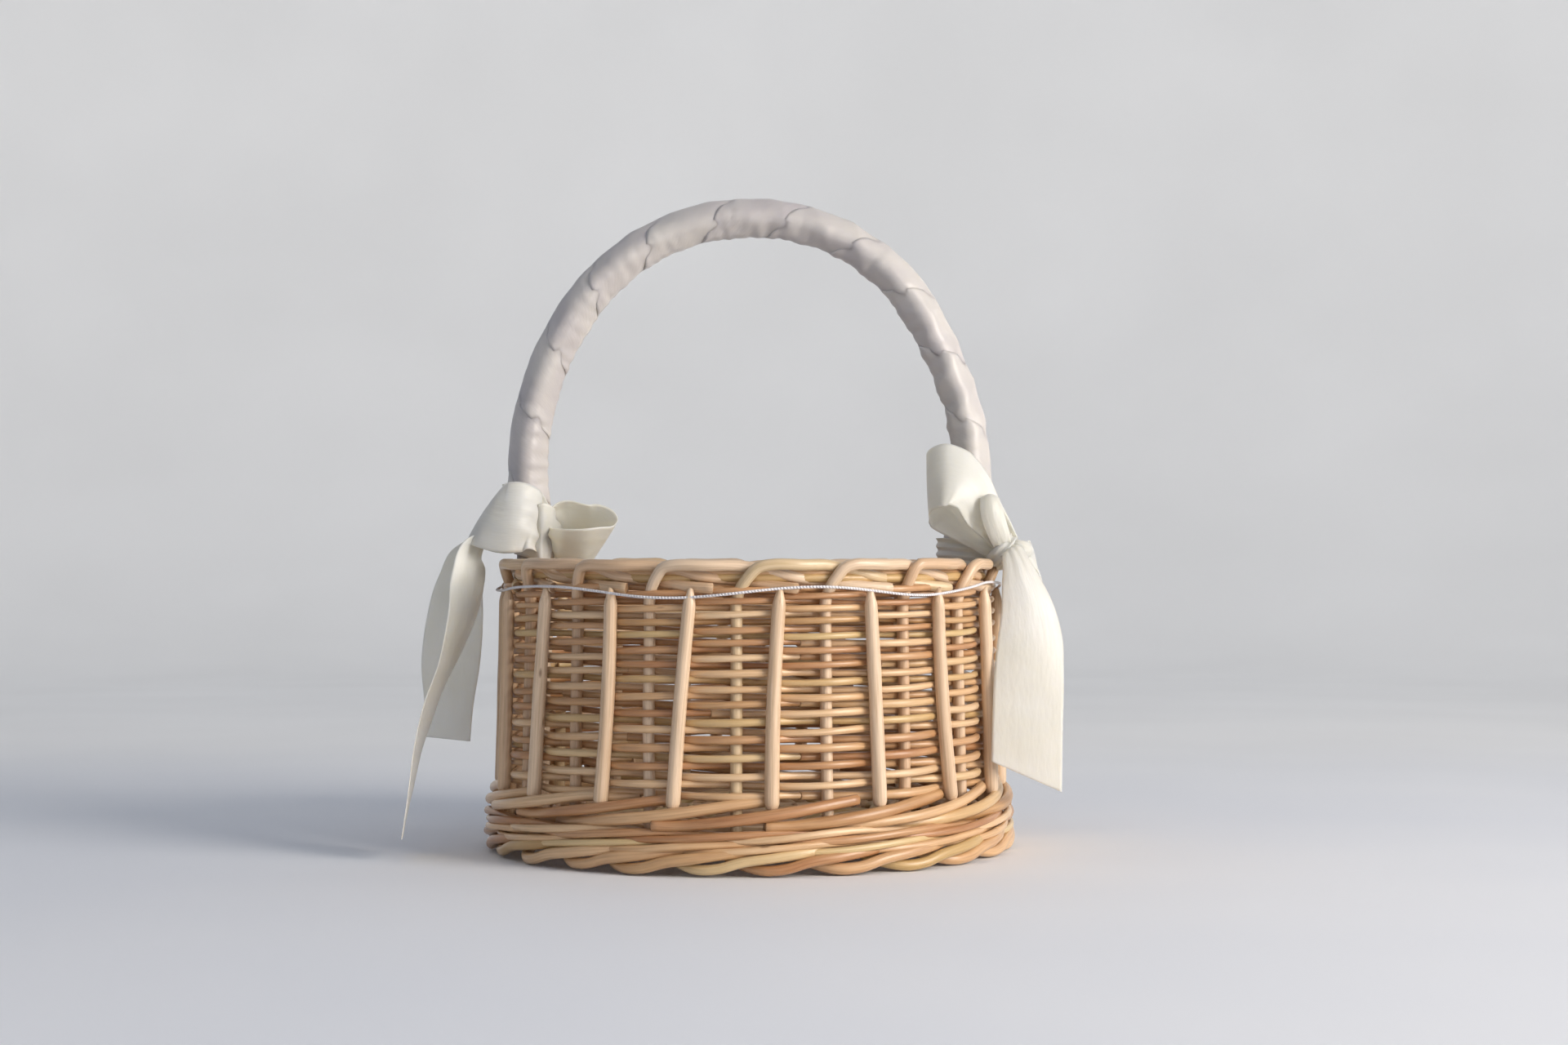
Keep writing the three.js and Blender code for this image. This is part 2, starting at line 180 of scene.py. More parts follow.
def add_rod(mesh, line, radius, rng, sides, lean=None, lumps=0.035, slant=(0.0, 0.0), tone=None):
    """Adds a rod along the line, with cut ends whose edges are bevelled.

    lean is the direction its first side faces, lumps the random share by which its thickness changes,
    and slant how far each end is cut off square, as a share of its radius.
    """
    line = np.asarray(line, float)
    count = len(line)
    run = run_of(line)
    radius = np.broadcast_to(radius, count) * (1 + drift(rng, run, 14, lumps))
    along = unit(np.gradient(line, axis=0))
    if lean is None:
        lean = unit(line * [1, 1, 0])
    lean = np.broadcast_to(lean, line.shape)
    across = unit(lean - (lean * along).sum(1, keepdims=True) * along)
    over = np.cross(along, across)
    angle = 2 * math.pi * np.arange(sides) / sides
    circle = np.stack([np.cos(angle), np.sin(angle)], axis=1)

    def ring(i, share, push, slope=0.0):
        spokes = across[i] * circle[:, :1] + over[i] * circle[:, 1:]
        shift = push + slope * circle[:, :1] * radius[i] * share
        return line[i] + spokes * radius[i] * share + along[i] * shift

    edge = END_BEVEL * radius
    rings = [ring(0, 0.0, -edge[0])[:1], ring(0, END_SHARE, -edge[0], slant[0])]
    rings += [ring(i, 1.0, 0.0, slant[0] if i == 0 else 0.0) for i in range(count - 1)]
    rings += [ring(count - 1, 1.0, 0.0, slant[1]), ring(count - 1, END_SHARE, edge[-1], slant[1])]
    rings += [ring(count - 1, 0.0, edge[-1])[:1]]
    points = np.concatenate(rings)
    last = len(points) - 1
    faces = []
    for j in range(sides):
        k = (j + 1) % sides
        faces.append((0, 1 + k, 1 + j))
        faces.append((last, last - sides + j, last - sides + k))
    for i in range(count + 1):
        low, high = 1 + i * sides, 1 + (i + 1) * sides
        faces += [
            (low + j, low + (j + 1) % sides, high + (j + 1) % sides, high + j) for j in range(sides)
        ]
    far = rng.uniform(0, 900)
    spin = rng.uniform(0, 2 * math.pi)
    turned = np.stack([np.cos(angle + spin), np.sin(angle + spin)], axis=1)
    steps = np.concatenate([[run[0]], run, [run[-1]]]) + far
    size = np.concatenate([[radius[0] * END_SHARE], radius, [radius[-1] * END_SHARE]])
    rows = [np.column_stack([turned * size[i], np.full(sides, steps[i])]) for i in range(count + 2)]
    grain = np.concatenate([[[0, 0, steps[0]]], *rows, [[0, 0, steps[-1]]]])
    cut = np.zeros(len(points))
    cut[: 1 + sides] = 1
    cut[-1 - sides :] = 1
    mesh.add(points, faces, grain, rng.uniform(0, 1, 3) if tone is None else tone, cut)


# ---------- materials ----------

class Nodes:
    """A short way to write a material's nodes."""

    def __init__(self, name):
        self.material = bpy.data.materials.new(name)
        self.material.use_nodes = True
        self.tree = self.material.node_tree
        self.shader = self.tree.nodes["Principled BSDF"]

    def node(self, kind, inputs=(), **settings):
        made = self.tree.nodes.new(kind)
        for key, value in settings.items():
            setattr(made, key, value)
        for key, value in dict(inputs).items():
            self.put(made.inputs[key], value)
        return made

    def put(self, socket, value):
        if isinstance(value, bpy.types.NodeSocket):
            self.tree.links.new(value, socket)
        else:
            socket.default_value = value

    def read(self, name):
        return self.node("ShaderNodeAttribute", attribute_name=name, attribute_type="GEOMETRY")

    def scaled(self, vector, scale):
        return self.node("ShaderNodeMapping", {"Vector": vector, "Scale": scale}).outputs["Vector"]

    def noise(self, vector, scale=1.0, detail=3.0, roughness=0.55):
        inputs = {"Vector": vector, "Scale": scale, "Detail": detail, "Roughness": roughness}
        return self.node("ShaderNodeTexNoise", inputs).outputs["Fac"]

    def math(self, operation, first, second=0.0):
        return self.node("ShaderNodeMath", {0: first, 1: second}, operation=operation).outputs[0]

    def ramp(self, share, *stops):
        made = self.node("ShaderNodeValToRGB", {"Fac": share})
        ramp = made.color_ramp
        while len(ramp.elements) < len(stops):
            ramp.elements.new(0.5)
        for element, (place, color) in zip(ramp.elements, stops):
            element.position = place
            element.color = (*color, 1)
        return made.outputs["Color"]

    def mix(self, share, first, second, blend_type="MIX"):
        made = self.node("ShaderNodeMix", data_type="RGBA", blend_type=blend_type)
        self.put(made.inputs[0], share)
        self.put(made.inputs[6], first)
        self.put(made.inputs[7], second)
        return made.outputs[2]

    def bump(self, height, strength, distance, normal=None):
        inputs = {"Height": height, "Strength": strength, "Distance": distance}
        if normal is not None:
            inputs["Normal"] = normal
        return self.node("ShaderNodeBump", inputs).outputs["Normal"]


def srgb(red, green, blue):
    """Linear colour of an 8-bit sRGB one."""
    shares = np.array([red, green, blue]) / 255
    linear = np.where(shares <= 0.04045, shares / 12.92, ((shares + 0.055) / 1.055) ** 2.4)
    return tuple(float(v) for v in linear)


def willow(name, pale, middle, deep, roughness):
    """Peeled willow: each rod has its own shade, with streaks along it, scars and darker cut ends."""
    m = Nodes(name)
    grain = m.read("grain").outputs["Vector"]
    tone = m.node("ShaderNodeSeparateXYZ", {"Vector": m.read("tone").outputs["Vector"]})
    cut = m.read("cut").outputs["Fac"]
    streaks = m.noise(m.scaled(grain, (1.3, 1.3, 0.035)), 1.0, 4.0)
    fine = m.noise(m.scaled(grain, (4.5, 4.5, 0.12)), 1.0, 2.0)
    patches = m.noise(m.scaled(grain, (0.25, 0.25, 0.045)), 1.0, 2.0)
    shade = m.math("MULTIPLY_ADD", tone.outputs["X"], 0.72)
    shade.node.inputs[2].default_value = -0.12
    shade = m.math("ADD", shade, m.math("MULTIPLY", patches, 0.5))
    color = m.ramp(shade, (0.0, pale), (0.45, middle), (1.0, deep))
    streaked = m.ramp(streaks, (0.3, (0.72, 0.66, 0.58)), (0.55, (1, 1, 1)), (0.8, (1.08, 1.06, 1.0)))
    color = m.mix(0.75, color, streaked, "MULTIPLY")
    green = m.math("MULTIPLY", m.ramp(tone.outputs["Y"], (0.72, (0, 0, 0)), (0.95, (1, 1, 1))), 0.4)
    color = m.mix(green, color, (*srgb(196, 178, 112), 1))
    scar_place = m.scaled(grain, (0.1, 0.1, 0.028))
    scars = m.node("ShaderNodeTexVoronoi", {"Vector": scar_place, "Scale": 1.0}).outputs["Distance"]
    scar = m.ramp(scars, (0.035, (1, 1, 1)), (0.075, (0, 0, 0)))
    color = m.mix(m.math("MULTIPLY", scar, 0.7), color, (*srgb(112, 74, 44), 1))
    color = m.mix(m.math("MULTIPLY", cut, 0.7), color, (*srgb(132, 92, 58), 1))
    m.put(m.shader.inputs["Base Color"], color)
    rough = m.math("MULTIPLY_ADD", fine, 0.22)
    rough.node.inputs[2].default_value = roughness
    m.put(m.shader.inputs["Roughness"], rough)
    m.shader.inputs["Specular IOR Level"].default_value = 0.5
    m.shader.inputs["Coat Weight"].default_value = 0.5
    m.shader.inputs["Coat Roughness"].default_value = 0.26
    height = m.math("ADD", m.math("MULTIPLY", streaks, 0.6), m.math("MULTIPLY", fine, 0.4))
    m.put(m.shader.inputs["Normal"], m.bump(height, 0.5, 0.0004))
    return m.material


def satin(name, color, shade, roughness, through):
    """Satin ribbon: fine threads across and along it, soft creases and a silky sheen.

    through is the share of the light that goes into the ribbon and partly through it.
    """
    m = Nodes(name)
    grain = m.read("grain").outputs["Vector"]
    across = m.noise(m.scaled(grain, (0.35, 9.0, 1.0)), 1.0, 2.0)
    along = m.noise(m.scaled(grain, (9.0, 0.5, 1.0)), 1.0, 2.0)
    creases = m.noise(m.scaled(grain, (0.05, 0.16, 1.0)), 1.0, 3.0)
    patches = m.noise(m.scaled(grain, (0.03, 0.03, 1.0)), 1.0, 2.0)
    tint = m.ramp(patches, (0.35, shade), (0.62, color))
    threads = m.ramp(across, (0.3, (0.975, 0.975, 0.975)), (0.7, (1, 1, 1)))
    m.put(m.shader.inputs["Base Color"], m.mix(1.0, tint, threads, "MULTIPLY"))
    rough = m.math("MULTIPLY_ADD", along, 0.16)
    rough.node.inputs[2].default_value = roughness
    m.put(m.shader.inputs["Roughness"], rough)
    m.shader.inputs["Specular IOR Level"].default_value = 0.45
    m.shader.inputs["Sheen Weight"].default_value = 0.35
    m.shader.inputs["Sheen Roughness"].default_value = 0.4
    m.shader.inputs["Anisotropic"].default_value = 0.4
    m.shader.inputs["Subsurface Weight"].default_value = through
    m.shader.inputs["Subsurface Radius"].default_value = (1.0, 0.9, 0.7)
    m.shader.inputs["Subsurface Scale"].default_value = 0.002
    threads_up = m.math("ADD", m.math("MULTIPLY", across, 0.5), m.math("MULTIPLY", along, 0.5))
    weave = m.bump(threads_up, 0.2, 0.00008)
    m.put(m.shader.inputs["Normal"], m.bump(creases, 0.35, 0.0012, weave))
    return m.material


def cotton(name):
    """Thin twisted thread."""
    m = Nodes(name)
    grain = m.read("grain").outputs["Vector"]
    parts = m.node("ShaderNodeSeparateXYZ", {"Vector": grain})
    twist = m.math("MULTIPLY_ADD", parts.outputs["Z"], 5.0)
    m.put(twist.node.inputs[2], m.math("MULTIPLY", parts.outputs["X"], 4.0))
    ply = m.math("SINE", twist)
    fibres = m.noise(m.scaled(grain, (6, 6, 1.5)))
    color = m.ramp(fibres, (0.3, srgb(206, 203, 206)), (0.7, srgb(240, 237, 238)))
    m.put(m.shader.inputs["Base Color"], color)
    m.shader.inputs["Roughness"].default_value = 0.75
    m.put(m.shader.inputs["Normal"], m.bump(ply, 0.6, 0.0002))
    return m.material


STAKE_WILLOW = willow("stake_willow", srgb(231, 208, 181), srgb(221, 191, 158), srgb(198, 158, 119), 0.3)
WEAVE_WILLOW = willow("weave_willow", srgb(233, 203, 165), srgb(216, 176, 131), srgb(168, 111, 66), 0.27)
BASE_WILLOW = willow("base_willow", srgb(228, 198, 158), srgb(208, 170, 124), srgb(162, 114, 70), 0.4)
WHITE_SATIN = satin("white_satin", srgb(216, 208, 199), srgb(197, 189, 187), 0.26, 0.5)
IVORY_SATIN = satin("ivory_satin", srgb(229, 226, 214), srgb(222, 218, 203), 0.32, 0.8)
THREAD_COTTON = cotton("thread_cotton")


# ---------- upright stakes, bent over into the rim border ----------

STAKE_RADIUS = 2.35
BORDER_ROUTE = np.array([
    [0.0, 0.4, 105.5],
    [0.03, 1.6, 110],
    [0.1, 3.5, 115],
    [0.17, 4.7, 118.4],
    [0.27, 5.2, 119.6],
    [0.42, 5.2, 119.7],
    [0.68, 4.7, 119.5],
    [1, 1.6, 119.5],
    [1.3, -1.2, 117.6],
    [1.6, 0.2, 115],
    [2, -3.3, 113.2],
    [2.35, 0, 111.4],
    [2.7, 3.2, 110.3],
])


def side_stakes(rng):
    for i in range(STAKES):
        lean = rng.normal(0, 0.012)
        upright = [[i - 2 * lean, 0, 5], [i - lean, 0, 30], [i, 0, 55], [i, 0, 82], [i, 0, 98]]
        border = BORDER_ROUTE.copy()
        border[:6, 0] *= rng.uniform(0.35, 1.5)
        border[4:8, 2] += rng.normal(0, 0.3)
        border[-1, 0] += rng.uniform(-0.08, 0.1)
        border[:, 0] += i
        route = smooth_path(on_wall(np.concatenate([upright, border])), step=2.2)
        run = run_of(route)
        taper = STAKE_RADIUS * (1.04 - 0.1 * run / run[-1])
        mesh = Mesh()
        tone = rng.uniform(0, 1, 3) * [0.8, 1, 1]
        add_rod(mesh, route, taper, rng, sides=14, lumps=0.02, slant=(0, 0.5), tone=tone)
        name = f"{i + 1:02d}"
        mesh.make(f"bent_stake_{name}", STAKE_WILLOW, "basket", "willow_stakes", f"side_stake_{name}")


# ---------- the rods inside the rim border ----------

# The height and the radius of each.
RIM_FILLERS = ((114.6, 1.9), (116.6, 1.6))
RIM_FILLERS_INSIDE = 1.2


def rim_fillers(rng):
    """Rods laid round inside the border, behind the bent stakes."""
    mesh = Mesh()
    for z, radius in RIM_FILLERS:
        place = np.arange(0, STAKES + 0.5, 0.1)
        height = z + drift(rng, place, 1.7, 0.35)
        from_axis = WALL_AT_RIM - RIM_FILLERS_INSIDE + drift(rng, place, 2.3, 0.4)
        line = around(from_axis, place * SPACING, height)
        add_rod(mesh, line, radius, rng, sides=10, lumps=0.05)
    mesh.make("rim_filling_rods", WEAVE_WILLOW, "basket", "willow_weave", "weave_band_3")


# ---------- outer stakes ----------

OUTER_RADIUS = 2.75
OUTER_OUT = 4.9
OUTER_FOOT = 26.0
OUTER_TOP = 109.5
# Azimuths of the top and the foot of the outer stakes that don't stand midway between their neighbours.
OUTER_LEANS = {
    15: (-51.0, -54.3),
    16: (-31.2, -33.2),
    17: (-12.6, -16.2),
    0: (6.4, 4.6),
    1: (26.6, 28.4),
    2: (45.8, 49.2),
    3: (66.0, 68.4),
}


def outer_stakes(rng):
    for i in range(STAKES):
        middle = FIRST_STAKE + (i + 0.5) * SPACING
        top, foot = OUTER_LEANS.get(i, (middle + rng.normal(0, 0.8), middle + rng.normal(0, 0.8)))
        z = np.concatenate([
            [OUTER_FOOT, OUTER_FOOT + 0.7, OUTER_FOOT + 2],
            np.linspace(OUTER_FOOT + 4, OUTER_TOP - 10, 26),
            np.linspace(OUTER_TOP - 9, OUTER_TOP, 9),
        ])
        share = (z - OUTER_FOOT) / (OUTER_TOP - OUTER_FOOT)
        bow = rng.normal(0, 0.35) * np.sin(math.pi * share)
        azimuth = foot + (top - foot) * share + bow
        line = around(wall_radius(z) + OUTER_OUT + rng.normal(0, 0.2), azimuth, z)
        point = 1 - 0.6 * blend_step(OUTER_TOP - 6.5, OUTER_TOP + 2, z)
        butt = 0.62 + 0.38 * blend_step(OUTER_FOOT - 1.5, OUTER_FOOT + 2.5, z)
        radius = OUTER_RADIUS * (1.05 - 0.1 * share) * point * butt
        mesh = Mesh()
        tone = rng.uniform(0, 1, 3) * [0.55, 0.8, 1]
        add_rod(mesh, line, radius, rng, sides=14, lumps=0.018, slant=(0, 0.9), tone=tone)
        name = f"{i + 1:02d}"
        mesh.make(f"liner_{name}", STAKE_WILLOW, "basket", "willow_stakes", f"outer_stake_{name}")


# ---------- the weave ----------

WEAVE_BOTTOM = 30.5
TOP_ROW = 112
ROW_AT_BOTTOM = 3.75
ROW_AT_TOP = 2.4
SPACING_RUN = 35  # the length of a spacing along the wall
WEAVER_PRESS = 0.25  # how far a weaver is pressed into each upright stake
WEAVER_SLANT = 0.35


def row_heights():
    heights = []
    z = WEAVE_BOTTOM
    while z < TOP_ROW:
        heights.append(z)
        share = (z - WEAVE_BOTTOM) / (TOP_ROW - WEAVE_BOTTOM)
        z += ROW_AT_BOTTOM + (ROW_AT_TOP - ROW_AT_BOTTOM) * share
    return heights


def weave(rng):
    """Rows of weavers, in front of and behind the upright stakes by turns."""
    heights = row_heights()
    for number, height in enumerate(heights):
        share = (height - WEAVE_BOTTOM) / (TOP_ROW - WEAVE_BOTTOM)
        pitch = ROW_AT_BOTTOM + (ROW_AT_TOP - ROW_AT_BOTTOM) * share
        radius = 0.27 * pitch + 0.63
        sway = STAKE_RADIUS + radius - WEAVER_PRESS
        phase = 1 if number % 2 == 0 else -1
        behind = [k for k in range(STAKES) if phase * (-1) ** k < 0]
        start = behind[rng.integers(len(behind))]
        middle = start + 2 * rng.integers(3, 7)
        mesh = Mesh()
        for low, high in ((start, middle), (middle, start + STAKES)):
            place = np.arange(low - 0.3, high + 0.36, 0.075)
            out = phase * sway * np.cos(math.pi * place)
            out -= 2.2 * radius * blend_step(high - 0.4, high + 0.3, place)
            z = height + drift(rng, place * SPACING_RUN, 60, 0.32)
            z += 0.25 * np.sin(math.pi * place * 0.5 + number)
            z += WEAVER_SLANT * phase * np.sin(math.pi * place)
            line = around(wall_radius(height) + out, FIRST_STAKE + place * SPACING, z)
            taper = 1.09 - 0.16 * (place - low) / (high - low)
            add_rod(mesh, line, radius * taper, rng, sides=8, lumps=0.05, slant=(0.4, -0.4))
        band = min(int((height - FOOT_TOP) / (WEAVE_TOP - FOOT_TOP) * BANDS), BANDS - 1) + 1
        name = f"weaver_row_{number + 1:02d}"
        mesh.make(name, WEAVE_WILLOW, "basket", "willow_weave", f"weave_band_{band}")


# ---------- the foot ----------

FOOT_SCALLOPS = 24
# In scallops along the foot, out from the wall, and up.
FOOT_BORDER_ROUTE = np.array([
    [-0.05, -3.5, 6.6],
    [0.2, 2.2, 3.9],
    [0.48, 6.2, 2.5],
    [0.76, 7.6, 3.2],
    [1.05, 8.2, 5.5],
    [1.5, 8.3, 7.4],
    [2.0, 6.6, 9.2],
    [2.45, 2.5, 10.4],
])
FOOT_BORDER_RADIUS = 2.2

UPPER_WALE_ROUTE = np.array([
    [-0.2, -1.5, 17.2],
    [0.1, 2.6, 18.2],
    [0.45, 6.0, 19.5],
    [1.0, 8.0, 21.6],
    [1.6, 7.2, 24.6],
    [2.1, 4.6, 27.3],
    [2.4, 2.6, 28.6],
])
UPPER_WALE_RADIUS = 2.3

LOWER_WALES = (11.2, 15.6)
LOWER_WALE_RADIUS = 1.55
LOWER_WALE_OUT = 6.4
LOWER_WALE_SWING = (2.5, 1.6)  # out from the wall, and up
WALE_STRANDS = 3


def foot(rng):
    border = Mesh()
    for i in range(FOOT_SCALLOPS):
        route = FOOT_BORDER_ROUTE.copy()
        route[:, 0] = (route[:, 0] + i + rng.normal(0, 0.07)) * STAKES / FOOT_SCALLOPS
        route[:, 1] += rng.normal(0, 0.3)
        route[1:, 2] += np.abs(rng.normal(0, 0.25))
        line = smooth_path(on_wall(route), step=2.0)
        size = FOOT_BORDER_RADIUS * rng.uniform(0.9, 1.08)
        add_rod(border, line, size, rng, sides=12, lumps=0.04, slant=(0, 0.6))
    border.make("rolled_foot_border", WEAVE_WILLOW, "basket", "willow_weave", "foot_border")

    wale = Mesh()
    for z in LOWER_WALES:
        for strand in range(WALE_STRANDS):
            place = np.arange(0, STAKES + 0.4, 0.1)
            swing = 2 * math.pi * (place + strand) / WALE_STRANDS + drift(rng, place, 2.5, 0.25)
            out = LOWER_WALE_OUT + LOWER_WALE_SWING[0] * np.cos(swing)
            height = z + LOWER_WALE_SWING[1] * np.sin(swing)
            height += drift(rng, place * SPACING_RUN, 70, 0.3)
            line = around(wall_radius(z) + out, FIRST_STAKE + (place + 0.3 * z) * SPACING, height)
            add_rod(wale, line, LOWER_WALE_RADIUS * rng.uniform(0.92, 1.08), rng, sides=9, lumps=0.06)
    wale.make("thin_rod_wale", WEAVE_WILLOW, "basket", "willow_weave", "lower_wale")

    top = Mesh()
    for i in range(STAKES):
        route = UPPER_WALE_ROUTE + [i + rng.normal(0, 0.09), rng.normal(0, 0.35), rng.normal(0, 0.35)]
        if rng.random() < 0.35:
            route[:2] = [[route[2, 0] - 0.22, route[2, 1] + 1.2, route[2, 2] + 0.2], route[2]]
            route = np.delete(route, 2, axis=0)
        elif rng.random() < 0.4:
            ending = [[i + 2.62, -0.8, 28.9], [i + 2.85, -4, 29.4]]
            route = np.concatenate([route, ending])
        line = smooth_path(on_wall(route), step=2.4)
        add_rod(top, line, UPPER_WALE_RADIUS * rng.uniform(0.9, 1.06), rng, sides=12, lumps=0.04)
    top.make("thick_rod_wale", WEAVE_WILLOW, "basket", "willow_weave", "upper_wale")


# ---------- the base ----------

ARM_LEVEL = 14.0
CROSS = 13.0
ARM_TIP = 94.0
ARM_SPREAD = math.radians(22.5)
SLIT_RADIUS = 3.3
THREADED_RADIUS = 2.6
BASE_CENTRE = 16.0
BASE_EDGE = 97.0
FINE_RINGS_TO = 30.0
FINE_RING_RADIUS = 1.5
RING_RADIUS = 1.75
RING_PITCH = 2.06  # in radii of the ring's rod


def base(rng):
    """A cross of slit and threaded sticks, whose arms spread, and the weave over and under them."""
    for kind, thick in (("slit", SLIT_RADIUS), ("threaded", THREADED_RADIUS)):
        for number, side in enumerate((-1, 1)):
            tip = [ARM_TIP * math.cos(ARM_SPREAD), side * ARM_TIP * math.sin(ARM_SPREAD)]
            half = np.array([[CROSS, side * 5.5], [40, side * 12], tip])
            middle = np.concatenate([half[::-1] * [-1, 1], half])
            flat = middle if kind == "slit" else middle[:, ::-1]
            line = smooth_path(np.column_stack([flat, np.full(len(flat), ARM_LEVEL)]), step=3)
            reach = np.abs(run_of(line) / run_of(line)[-1] - 0.5) * 2
            mesh = Mesh()
            add_rod(mesh, line, thick * (1.15 - 0.35 * reach), rng, sides=12, lean=(0, 0, 1))
            name = f"base_{kind}_rod_{number + 1}"
            mesh.make(name, BASE_WILLOW, "basket", "willow_base", f"base_{kind}_stick_{number + 1}")
    mesh = Mesh()
    radius = BASE_CENTRE
    ring = 0
    while radius < BASE_EDGE:
        thick = FINE_RING_RADIUS if radius < FINE_RINGS_TO else RING_RADIUS
        azimuth = np.linspace(0, 360, max(48, int(radius * 2.2))) + rng.uniform(0, 360)
        wave = np.cos(np.radians(azimuth * 4)) * (1 if ring % 2 else -1)
        height = ARM_LEVEL + wave * (2.2 + thick) * 0.78 + drift(rng, azimuth, 40, 0.2)
        wander = np.linspace(0, 1, len(azimuth)) * 0.6
        line = around(radius + wander, azimuth, height)
        add_rod(mesh, line, thick, rng, sides=7, lean=(0, 0, 1), lumps=0.05)
        radius += RING_PITCH * thick
        ring += 1
    mesh.make("base_rings", BASE_WILLOW, "basket", "willow_base", "base_weave")


# ---------- the thread round the rim ----------

THREAD_RADIUS = 0.55
THREAD_LEVEL = 109.6
THREAD_OUT = 6.6


def rim_thread(rng):
    azimuth = np.linspace(-177, 181, 420)
    place = (azimuth - FIRST_STAKE) / SPACING
    height = THREAD_LEVEL + 2.3 * np.sin(place * 2.1) + drift(rng, place, 1.3, 0.9)
    out = THREAD_OUT + 0.7 * np.cos(place * math.pi * 2)
    mesh = Mesh()
    line = around(WALL_AT_RIM + out, azimuth, height)
    add_rod(mesh, line, THREAD_RADIUS, rng, sides=7, lumps=0.0)
    mesh.make("tied_thread", THREAD_COTTON, "basket", "white_thread", "rim_thread")


# ---------- the handle ----------

HOOP = np.array([
    [-88.0, 0, 10],
    [-88.0, 0, 60],
    [-88.2, 0, 112],
    [-91.0, 0, 132],
    [-94.4, 0, 156],
    [-93.2, 0, 176],
    [-88.6, 0, 196],
    [-77.6, 0, 220.5],
    [-60.2, 0, 243],
    [-31.6, 0, 261.5],
    [2.0, 0, 267.4],
    [31.6, 0, 262],
    [61.0, 0, 243],
    [82.0, 0, 210],
    [92.4, 0, 180],
    [94.6, 0, 156],
    [92.0, 0, 134],
    [88.4, 0, 114],
    [88.0, 0, 60],
    [88.0, 0, 10],
])
HOOP_END_RADIUS = 3.1
HOOP_RADIUS = 4.9
WRAP_START = 119.5
WRAP_PITCH = 30.5
WRAP_WIDTH = 36.0  # how much of the hoop's length one turn of the slanting ribbon covers
WRAP_RADIUS = 7.3
WRAP_GIRTH = 48
WRAP_THICKNESS = 0.3
WRAP_AT_SEAM = 0.9  # where round the hoop each turn starts, in radians
STEPS_A_TURN = 60
RIBBON = 30.0


def wrapped_line():
    """The middle line of the wrapped part of the hoop."""
    line = smooth_path(HOOP, step=0.5)
    middle = int(np.argmax(line[:, 2]))
    left = int(np.argmax(line[:, 2] > WRAP_START))
    right = middle + int(np.argmax(line[middle:, 2] < WRAP_START))
    return line[left:right]


def noise_grid(rng, along, angle, size, turns):
    """Smooth random lumps of about that size on a tube, given places along and round it.

    turns is the range of whole turns by which they wind round the tube as they go along it.
    """
    total = np.zeros_like(along)
    for _ in range(8):
        wave = 2 * math.pi / (size * rng.uniform(0.7, 1.7))
        total += np.sin(along * wave + rng.integers(*turns) * angle + rng.uniform(0, 2 * math.pi))
    return total / 2


def handle(rng):
    core = Mesh()
    line = smooth_path(HOOP, step=3)
    run = run_of(line)
    thicker = blend_step(60, 115, np.minimum(run, run[-1] - run))
    radius = HOOP_END_RADIUS + (HOOP_RADIUS - HOOP_END_RADIUS) * thicker
    add_rod(core, line, radius, rng, sides=14, lean=(0, 1, 0))
    core.make("handle_rod", STAKE_WILLOW, "basket", "willow_stakes", "handle_core")
    wrap(rng)


def wrap(rng):
    """One long ribbon wound round the hoop, each turn over the edge of the one before."""
    line = wrapped_line()
    run = run_of(line)
    along = unit(np.gradient(line, axis=0))
    side = np.array([0.0, 1.0, 0.0])
    outward = np.cross(side, along)
    if outward[len(line) // 2, 2] < 0:
        outward = -outward
    turns = run[-1] / WRAP_PITCH
    t = np.arange(-0.55, turns + 0.55, 1 / STEPS_A_TURN)
    u = np.linspace(0, 1, 27)
    grid_t, grid_u = np.meshgrid(t, u, indexing="ij")
    place = WRAP_PITCH * grid_t + (grid_u - 0.5) * WRAP_WIDTH
    angle = 2 * math.pi * grid_t + WRAP_AT_SEAM
    folds = noise_grid(rng, place, angle, size=26.0, turns=(1, 2))
    bumps = noise_grid(rng, place, angle, size=11.0, turns=(-1, 3))
    creases = noise_grid(rng, place, angle, size=5.0, turns=(-2, 3))
    inner = 0.5 - 0.5 * np.cos(angle)
    lap = 1 - blend_step(0.0, 0.25, grid_u)
    tuck = blend_step(0.86, 1.0, grid_u)
    radius = WRAP_RADIUS + 0.36 * lap - 0.34 * tuck + 0.55 * (1 - (2 * grid_u - 1) ** 2)
    radius += 0.45 * np.cos(4 * angle + 1.2 * (grid_u - 0.5))
    radius += 0.34 * (0.6 - np.abs(folds)) + bumps * 0.07 + creases * (0.02 + 0.13 * inner)
    at = np.clip(place, 0, run[-1])
    centre = np.stack([np.interp(at, run, line[:, k]) for k in range(3)], axis=-1)
    out = np.stack([np.interp(at, run, outward[:, k]) for k in range(3)], axis=-1)
    spoke = out * np.cos(angle)[..., None] + side * np.sin(angle)[..., None]
    swell = 1 + 0.16 * np.exp(-((at / 28) ** 2)) + 0.04 * np.exp(-(((run[-1] - at) / 20) ** 2))
    points = centre + spoke * (radius * swell)[..., None]
    length = (t - t[0])[:, None] * math.hypot(WRAP_PITCH, WRAP_GIRTH) + 0 * u
    flat = np.stack([length, np.broadcast_to(u * RIBBON, length.shape), np.zeros_like(length)], axis=-1)
    sheet = sheet_mesh(points, flat, rng)
    piece = sheet.make("wound_ribbon", WHITE_SATIN, "basket", "white_satin", "handle_wrap")
    thicken(piece, WRAP_THICKNESS)


# ---------- ribbons ----------

RIBBON_THICKNESS = 0.32
RIBBON_STEP = 1.0
RIBBON_COLUMNS = 25
RIPPLE = 0.35


